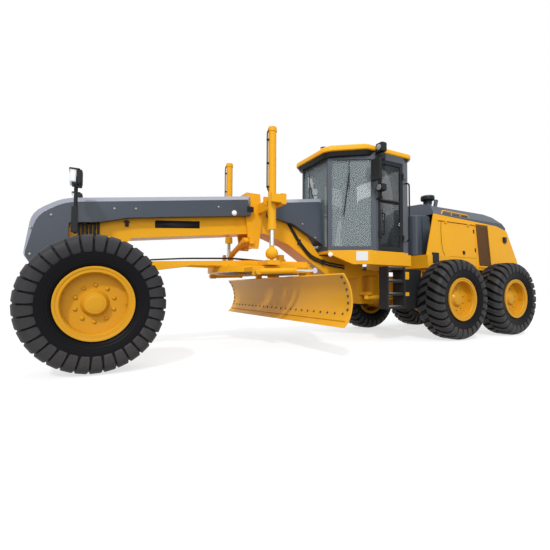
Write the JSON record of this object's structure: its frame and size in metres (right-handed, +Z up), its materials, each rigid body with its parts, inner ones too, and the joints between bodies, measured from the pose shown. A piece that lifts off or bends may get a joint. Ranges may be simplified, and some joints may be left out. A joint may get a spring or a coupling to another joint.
{
  "type": "motor grader",
  "caption": "Articulated motor grader with a six-sided cab, a turning blade under its boom, leaning front wheels and tandem rear drive.",
  "frame": {"origin": "on the ground under the centre of the overall box", "axes": "+X forward, +Y to the driver's left, +Z up"},
  "size_m": [9.13, 3.66, 3.3],
  "materials": {
    "yellow_paint": "gloss",
    "grey_paint": "satin",
    "black_paint": "satin",
    "brown_grille": "matt",
    "rod_steel": "polished",
    "tyre": "matt",
    "glass": "clear"
  },
  "bodies": {
    "front": {"front_frame": "yellow_paint", "frame_covers": "grey_paint", "linkage_bar": "yellow_paint", "cab_floor": "yellow_paint", "cab_frame": "grey_paint", "cab_roof": "yellow_paint", "cab_glass": "glass", "cab_interior": "black_paint", "lamps_and_mirrors": "black_paint"},
    "rear": {"rear_frame": "yellow_paint", "hood": "yellow_paint", "hood_top": "grey_paint", "hood_grilles": "brown_grille", "tank": "grey_paint", "engine": "black_paint", "steps": "yellow_paint"},
    "axle": {"front_axle": "yellow_paint"},
    "lean_bracket_left": {"lean_bracket_left": "yellow_paint"},
    "lean_bracket_right": {"lean_bracket_right": "yellow_paint"},
    "lean_bar": {"lean_bar": "yellow_paint"},
    "lean_barrel": {"lean_barrel": "yellow_paint"},
    "lean_rod": {"lean_rod": "rod_steel"},
    "knuckle_left": {"knuckle_left": "yellow_paint"},
    "knuckle_right": {"knuckle_right": "yellow_paint"},
    "tie_rod_ball": {"tie_rod_ball": "yellow_paint"},
    "tie_rod": {"tie_rod": "yellow_paint"},
    "steering_barrel": {"steering_barrel": "yellow_paint"},
    "steering_rod": {"steering_rod": "rod_steel"},
    "tandem_left": {"tandem_left": "yellow_paint"},
    "tandem_right": {"tandem_right": "yellow_paint"},
    "drawbar": {"drawbar": "yellow_paint"},
    "circle": {"circle": "yellow_paint"},
    "blade_bracket": {"blade_bracket": "yellow_paint"},
    "moldboard": {"moldboard": "yellow_paint"},
    "lift_barrels": {"lift_barrels": "yellow_paint"},
    "lift_rods": {"lift_rods": "rod_steel"},
    "shift_barrel": {"shift_barrel": "yellow_paint"},
    "shift_rod": {"shift_rod": "rod_steel"},
    "tip_barrels": {"tip_barrels": "yellow_paint"},
    "tip_rods": {"tip_rods": "rod_steel"},
    "wheel_front_left": {"tyre_front_left": "tyre", "rim_front_left": "yellow_paint"},
    "wheel_middle_left": {"tyre_middle_left": "tyre", "rim_middle_left": "yellow_paint"},
    "wheel_rear_left": {"tyre_rear_left": "tyre", "rim_rear_left": "yellow_paint"},
    "articulation_barrel_left": {"articulation_barrel_left": "yellow_paint"},
    "articulation_rod_left": {"articulation_rod_left": "rod_steel"},
    "cab_door_left": {"cab_door_left": "black_paint"},
    "engine_door_left": {"engine_door_left": "yellow_paint"},
    "wheel_front_right": {"tyre_front_right": "tyre", "rim_front_right": "yellow_paint"},
    "wheel_middle_right": {"tyre_middle_right": "tyre", "rim_middle_right": "yellow_paint"},
    "wheel_rear_right": {"tyre_rear_right": "tyre", "rim_rear_right": "yellow_paint"},
    "articulation_barrel_right": {"articulation_barrel_right": "yellow_paint"},
    "articulation_rod_right": {"articulation_rod_right": "rod_steel"},
    "cab_door_right": {"cab_door_right": "black_paint"},
    "engine_door_right": {"engine_door_right": "yellow_paint"}
  },
  "joints": [
    {"name": "articulation", "type": "hinge", "parent": "front", "child": "rear", "pos_m": [-0.745, 0, 0.875], "axis": [0, 0, 1], "range_deg": [-25, 25]},
    {"name": "axle_swing", "type": "hinge", "parent": "front", "child": "axle", "pos_m": [3.855, 0, 0.72], "axis": [1, 0, 0], "range_deg": [-15, 15]},
    {"name": "wheel_lean", "type": "hinge", "parent": "axle", "child": "lean_bracket_left", "pos_m": [3.855, 0.68, 0.56], "axis": [-1, 0, 0], "range_deg": [-17, 17]},
    {"name": "wheel_lean_right", "type": "hinge", "parent": "axle", "child": "lean_bracket_right", "pos_m": [3.855, -0.68, 0.56], "axis": [-1, 0, 0], "range_deg": [-17.2, 17.2]},
    {"name": "lean_bar_pin", "type": "hinge", "parent": "lean_bracket_left", "child": "lean_bar", "pos_m": [3.855, 0.68, 0.92], "axis": [-1, 0, 0], "range_deg": [-17.2, 17.2]},
    {"name": "lean_barrel_pin", "type": "hinge", "parent": "axle", "child": "lean_barrel", "pos_m": [4.005, 0.21, 0.74], "axis": [1, 0, 0], "range_deg": [-2.56, 2.56]},
    {"name": "lean_rod_slide", "type": "slide", "parent": "lean_barrel", "child": "lean_rod", "axis": [0, 0.9737, 0.2279], "range_m": [-0.087, 0.087]},
    {"name": "steering", "type": "hinge", "parent": "lean_bracket_left", "child": "knuckle_left", "pos_m": [3.855, 0.8, 0.674], "axis": [0, 0, 1], "range_deg": [-45, 45]},
    {"name": "steering_right", "type": "hinge", "parent": "lean_bracket_right", "child": "knuckle_right", "pos_m": [3.855, -0.8, 0.674], "axis": [0, 0, 1], "range_deg": [-45.2, 45.2]},
    {"name": "tie_rod_swivel", "type": "hinge", "parent": "knuckle_left", "child": "tie_rod_ball", "pos_m": [3.635, 0.8, 0.42], "axis": [0, 0, 1], "range_deg": [-45.2, 45.2]},
    {"name": "tie_rod_tilt", "type": "hinge", "parent": "tie_rod_ball", "child": "tie_rod", "pos_m": [3.635, 0.8, 0.42], "axis": [-1, 0, 0], "range_deg": [-17.2, 17.2]},
    {"name": "steering_barrel_pin", "type": "hinge", "parent": "axle", "child": "steering_barrel", "pos_m": [3.635, 0.2, 0.625], "axis": [0, 0, 1], "range_deg": [-0.2, 0.2]},
    {"name": "steering_rod_slide", "type": "slide", "parent": "steering_barrel", "child": "steering_rod", "axis": [0, 1, 0], "range_m": [-0.1607, 0.1607]},
    {"name": "wheel_front_left_spin", "type": "hinge", "parent": "knuckle_left", "child": "wheel_front_left", "pos_m": [3.855, 1.08, 0.674], "axis": [0, 1, 0], "continuous": true},
    {"name": "tandem_left_swing", "type": "hinge", "parent": "rear", "child": "tandem_left", "pos_m": [-2.365, 0.7, 0.674], "axis": [0, 1, 0], "range_deg": [-15, 15]},
    {"name": "wheel_middle_left_spin", "type": "hinge", "parent": "tandem_left", "child": "wheel_middle_left", "pos_m": [-1.595, 1.08, 0.674], "axis": [0, 1, 0], "continuous": true},
    {"name": "wheel_rear_left_spin", "type": "hinge", "parent": "tandem_left", "child": "wheel_rear_left", "pos_m": [-3.135, 1.08, 0.674], "axis": [0, 1, 0], "continuous": true},
    {"name": "wheel_front_right_spin", "type": "hinge", "parent": "knuckle_right", "child": "wheel_front_right", "pos_m": [3.855, -1.08, 0.674], "axis": [0, 1, 0], "continuous": true},
    {"name": "tandem_right_swing", "type": "hinge", "parent": "rear", "child": "tandem_right", "pos_m": [-2.365, -0.7, 0.674], "axis": [0, 1, 0], "range_deg": [-15, 15]},
    {"name": "wheel_middle_right_spin", "type": "hinge", "parent": "tandem_right", "child": "wheel_middle_right", "pos_m": [-1.595, -1.08, 0.674], "axis": [0, 1, 0], "continuous": true},
    {"name": "wheel_rear_right_spin", "type": "hinge", "parent": "tandem_right", "child": "wheel_rear_right", "pos_m": [-3.135, -1.08, 0.674], "axis": [0, 1, 0], "continuous": true},
    {"name": "drawbar_lift", "type": "hinge", "parent": "front", "child": "drawbar", "pos_m": [3.385, 0, 1.11], "axis": [0, 1, 0], "range_deg": [-26, 2.5]},
    {"name": "circle_turn", "type": "hinge", "parent": "drawbar", "child": "circle", "pos_m": [1.545, 0, 1.1], "axis": [0, 0, 1], "continuous": true},
    {"name": "blade_tip", "type": "hinge", "parent": "circle", "child": "blade_bracket", "pos_m": [1.125, 0, 0.52], "axis": [0, 1, 0], "range_deg": [-20, 22]},
    {"name": "blade_side_shift", "type": "slide", "parent": "blade_bracket", "child": "moldboard", "axis": [0, -1, 0], "range_m": [-0.6, 0.6]},
    {"name": "lift_barrel_pins", "type": "hinge", "parent": "front", "child": "lift_barrels", "pos_m": [1.735, 0, 2.03], "axis": [0, -1, 0], "range_deg": [-0.43, 2.57]},
    {"name": "lift_rod_slide", "type": "slide", "parent": "lift_barrels", "child": "lift_rods", "axis": [0, 0, -1], "range_m": [-0.0753, 0.7643]},
    {"name": "shift_barrel_pin", "type": "hinge", "parent": "front", "child": "shift_barrel", "pos_m": [1.865, 0.2, 1.54], "axis": [1, 0, 0], "range_deg": [-3.95, 39.22]},
    {"name": "shift_rod_slide", "type": "slide", "parent": "shift_barrel", "child": "shift_rod", "axis": [0, -0.9542, -0.2991], "range_m": [-0.0398, 0.3947]},
    {"name": "tip_barrel_pins", "type": "hinge", "parent": "circle", "child": "tip_barrels", "pos_m": [1.995, 0, 1.05], "axis": [0, -1, 0], "range_deg": [-0.281, 0.274]},
    {"name": "tip_rod_slide", "type": "slide", "parent": "tip_barrels", "child": "tip_rods", "axis": [-0.9992, 0, 0.0407], "range_m": [-0.2185, 0.1988]},
    {"name": "articulation_barrel_left_pin", "type": "hinge", "parent": "front", "child": "articulation_barrel_left", "pos_m": [-0.355, 0.34, 0.698], "axis": [0, 0, 1], "range_deg": [-16.46, 16.46]},
    {"name": "articulation_rod_left_slide", "type": "slide", "parent": "articulation_barrel_left", "child": "articulation_rod_left", "axis": [-0.9935, 0.1138, 0], "range_m": [-0.1711, 0.1711]},
    {"name": "articulation_barrel_right_pin", "type": "hinge", "parent": "front", "child": "articulation_barrel_right", "pos_m": [-0.355, -0.34, 0.698], "axis": [0, 0, 1], "range_deg": [-16.46, 16.46]},
    {"name": "articulation_rod_right_slide", "type": "slide", "parent": "articulation_barrel_right", "child": "articulation_rod_right", "axis": [-0.9935, -0.1138, 0], "range_m": [-0.1711, 0.1711]},
    {"name": "cab_door_left_hinge", "type": "hinge", "parent": "front", "child": "cab_door_left", "pos_m": [-0.764, 0.796, 2.2], "axis": [0, 0, 1], "range_deg": [0, 100]},
    {"name": "engine_door_left_hinge", "type": "hinge", "parent": "rear", "child": "engine_door_left", "pos_m": [-2.25, 0.72104, 2.102], "axis": [1, 0, 0], "range_deg": [0, 70]},
    {"name": "cab_door_right_hinge", "type": "hinge", "parent": "front", "child": "cab_door_right", "pos_m": [-0.764, -0.796, 2.2], "axis": [0, 0, -1], "range_deg": [0, 100]},
    {"name": "engine_door_right_hinge", "type": "hinge", "parent": "rear", "child": "engine_door_right", "pos_m": [-2.25, -0.72104, 2.102], "axis": [-1, 0, 0], "range_deg": [0, 70]}
  ],
  "couplings": [
    {"joint": "wheel_lean_right", "follows": "wheel_lean", "ratio": 1},
    {"joint": "lean_bar_pin", "follows": "wheel_lean", "ratio": -1},
    {"joint": "lean_barrel_pin", "follows": "wheel_lean", "ratio": -0.13638},
    {"joint": "lean_rod_slide", "follows": "wheel_lean", "m_per_rad": 0.28096},
    {"joint": "steering_right", "follows": "steering", "ratio": 1},
    {"joint": "tie_rod_swivel", "follows": "steering", "ratio": -1},
    {"joint": "tie_rod_tilt", "follows": "wheel_lean", "ratio": -0.85},
    {"joint": "steering_barrel_pin", "follows": "steering", "ratio": 0.000001},
    {"joint": "steering_rod_slide", "follows": "steering", "m_per_rad": -0.19807},
    {"joint": "lift_barrel_pins", "follows": "drawbar_lift", "ratio": -0.089463},
    {"joint": "lift_rod_slide", "follows": "drawbar_lift", "m_per_rad": -1.647},
    {"joint": "shift_barrel_pin", "follows": "drawbar_lift", "ratio": -1.4713},
    {"joint": "shift_rod_slide", "follows": "drawbar_lift", "m_per_rad": -0.84843},
    {"joint": "tip_barrel_pins", "follows": "blade_tip", "ratio": -0.003631},
    {"joint": "tip_rod_slide", "follows": "blade_tip", "m_per_rad": -0.55272},
    {"joint": "articulation_barrel_left_pin", "follows": "articulation", "ratio": 0.63778},
    {"joint": "articulation_rod_left_slide", "follows": "articulation", "m_per_rad": 0.37997},
    {"joint": "articulation_barrel_right_pin", "follows": "articulation", "ratio": 0.63778},
    {"joint": "articulation_rod_right_slide", "follows": "articulation", "m_per_rad": -0.37997}
  ]
}
